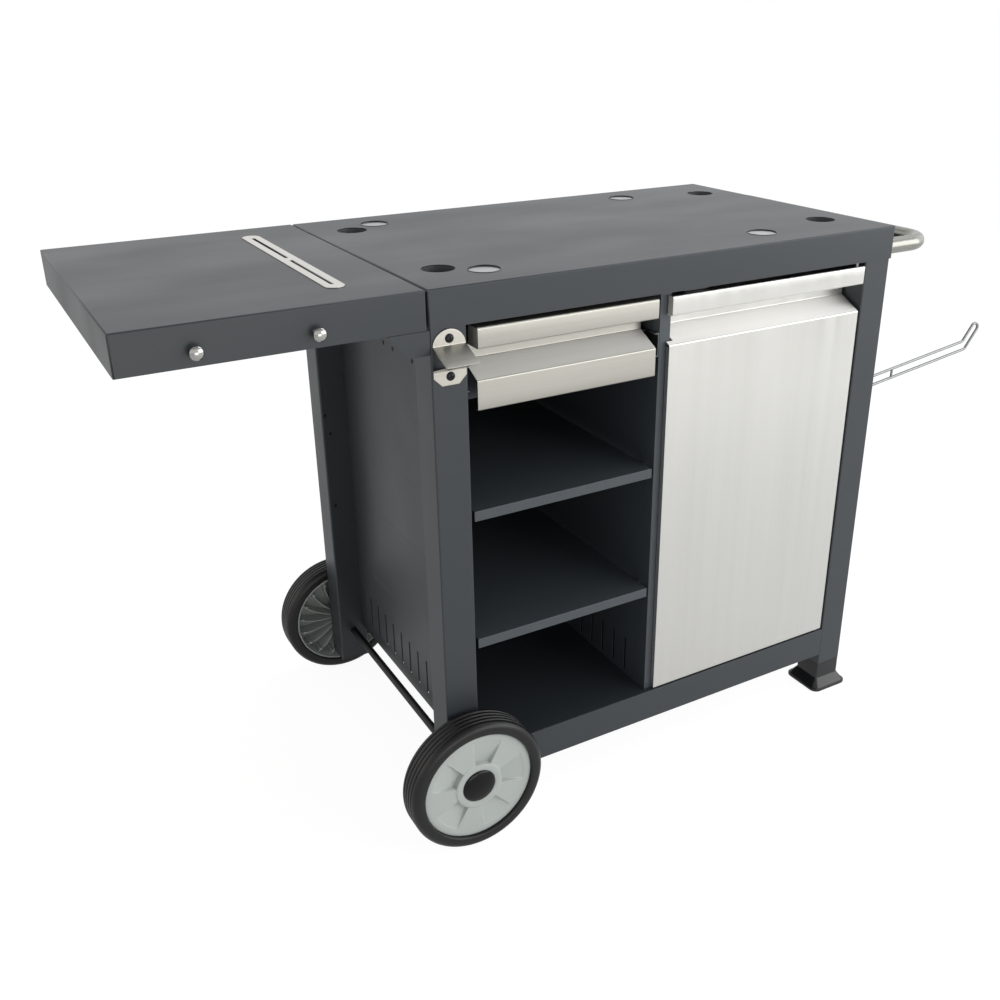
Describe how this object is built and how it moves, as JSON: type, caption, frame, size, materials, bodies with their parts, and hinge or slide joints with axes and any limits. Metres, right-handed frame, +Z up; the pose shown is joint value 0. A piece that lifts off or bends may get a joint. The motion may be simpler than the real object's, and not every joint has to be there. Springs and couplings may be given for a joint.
{
  "type": "grill prep cart",
  "caption": "Wheeled outdoor grill prep cart: folded steel worktop with foot holes, drop-down side shelf, drawer, open bays, hinged door, push handle and towel arm.",
  "frame": {"origin": "middle of the bounding box, on the floor", "axes": "+X to the handle end, -X to the folding side shelf, -Y to the drawer and door, +Z up"},
  "size_m": [1.476, 0.6, 0.8262],
  "materials": {
    "powder_coat": "satin anthracite powder coat",
    "brushed_stainless": "brushed stainless steel",
    "zinc_steel": "zinc plated steel",
    "chrome": "bright chrome plate",
    "plug_metal": "satin grey metal",
    "black_steel": "black oxide steel",
    "black_plastic": "matt black moulded plastic",
    "hub_plastic": "light grey moulded plastic",
    "tyre_rubber": "black ribbed rubber"
  },
  "bodies": {
    "cart": {"worktop": "powder_coat", "foot_cups": "black_plastic", "blanking_discs": "plug_metal", "shelf_brackets": "powder_coat", "hinge_pins": "zinc_steel", "bracket_screws": "black_steel", "leg_front_left": "powder_coat", "leg_rear_left": "powder_coat", "leg_front_right": "powder_coat", "leg_rear_right": "powder_coat", "left_panel": "powder_coat", "right_panel": "powder_coat", "divider": "powder_coat", "back_panel": "powder_coat", "bottom_panel": "powder_coat", "centre_stile": "powder_coat", "bottom_rail_front": "powder_coat", "top_rail_front": "powder_coat", "bottom_rail_rear": "powder_coat", "top_rail_rear": "powder_coat", "shelf_upper": "powder_coat", "shelf_lower": "powder_coat", "shelf_pegs": "zinc_steel", "runners_fixed": "zinc_steel", "door_magnet": "black_plastic", "bottle_opener": "brushed_stainless", "opener_screws": "black_steel", "handle": "brushed_stainless", "handle_flanges": "brushed_stainless", "towel_wire": "chrome", "towel_bracket": "chrome", "towel_screws": "black_steel", "foot_front": "black_plastic", "foot_rear": "black_plastic", "leg_plugs": "black_plastic", "axle": "black_steel", "axle_washers": "zinc_steel"},
    "side_shelf": {"side_shelf": "powder_coat", "slotted_plate": "brushed_stainless", "hook_knobs": "chrome"},
    "drawer": {"drawer_front": "brushed_stainless", "drawer_box": "powder_coat", "runners_moving": "zinc_steel"},
    "door": {"door_skin": "brushed_stainless", "door_pan": "brushed_stainless", "door_pins": "zinc_steel"},
    "front_wheel": {"front_tyre": "tyre_rubber", "front_hub": "hub_plastic", "front_cap": "black_plastic"},
    "rear_wheel": {"rear_tyre": "tyre_rubber", "rear_hub": "hub_plastic", "rear_cap": "black_plastic"}
  },
  "joints": [
    {"name": "shelf_fold", "type": "hinge", "parent": "cart", "child": "side_shelf", "pos_m": [-0.39605, 0, 0.766], "axis": [0, -1, 0], "range_deg": [0, 90]},
    {"name": "drawer_slide", "type": "slide", "parent": "cart", "child": "drawer", "axis": [0, -1, 0], "range_m": [0, 0.3]},
    {"name": "door_swing", "type": "hinge", "parent": "cart", "child": "door", "pos_m": [0.34895, -0.243, 0.445], "axis": [0, 0, 1], "range_deg": [0, 110]},
    {"name": "front_wheel_roll", "type": "hinge", "parent": "cart", "child": "front_wheel", "pos_m": [-0.34305, -0.274, 0.105], "axis": [0, 1, 0], "continuous": true},
    {"name": "rear_wheel_roll", "type": "hinge", "parent": "cart", "child": "rear_wheel", "pos_m": [-0.34305, 0.274, 0.105], "axis": [0, 1, 0], "continuous": true}
  ]
}
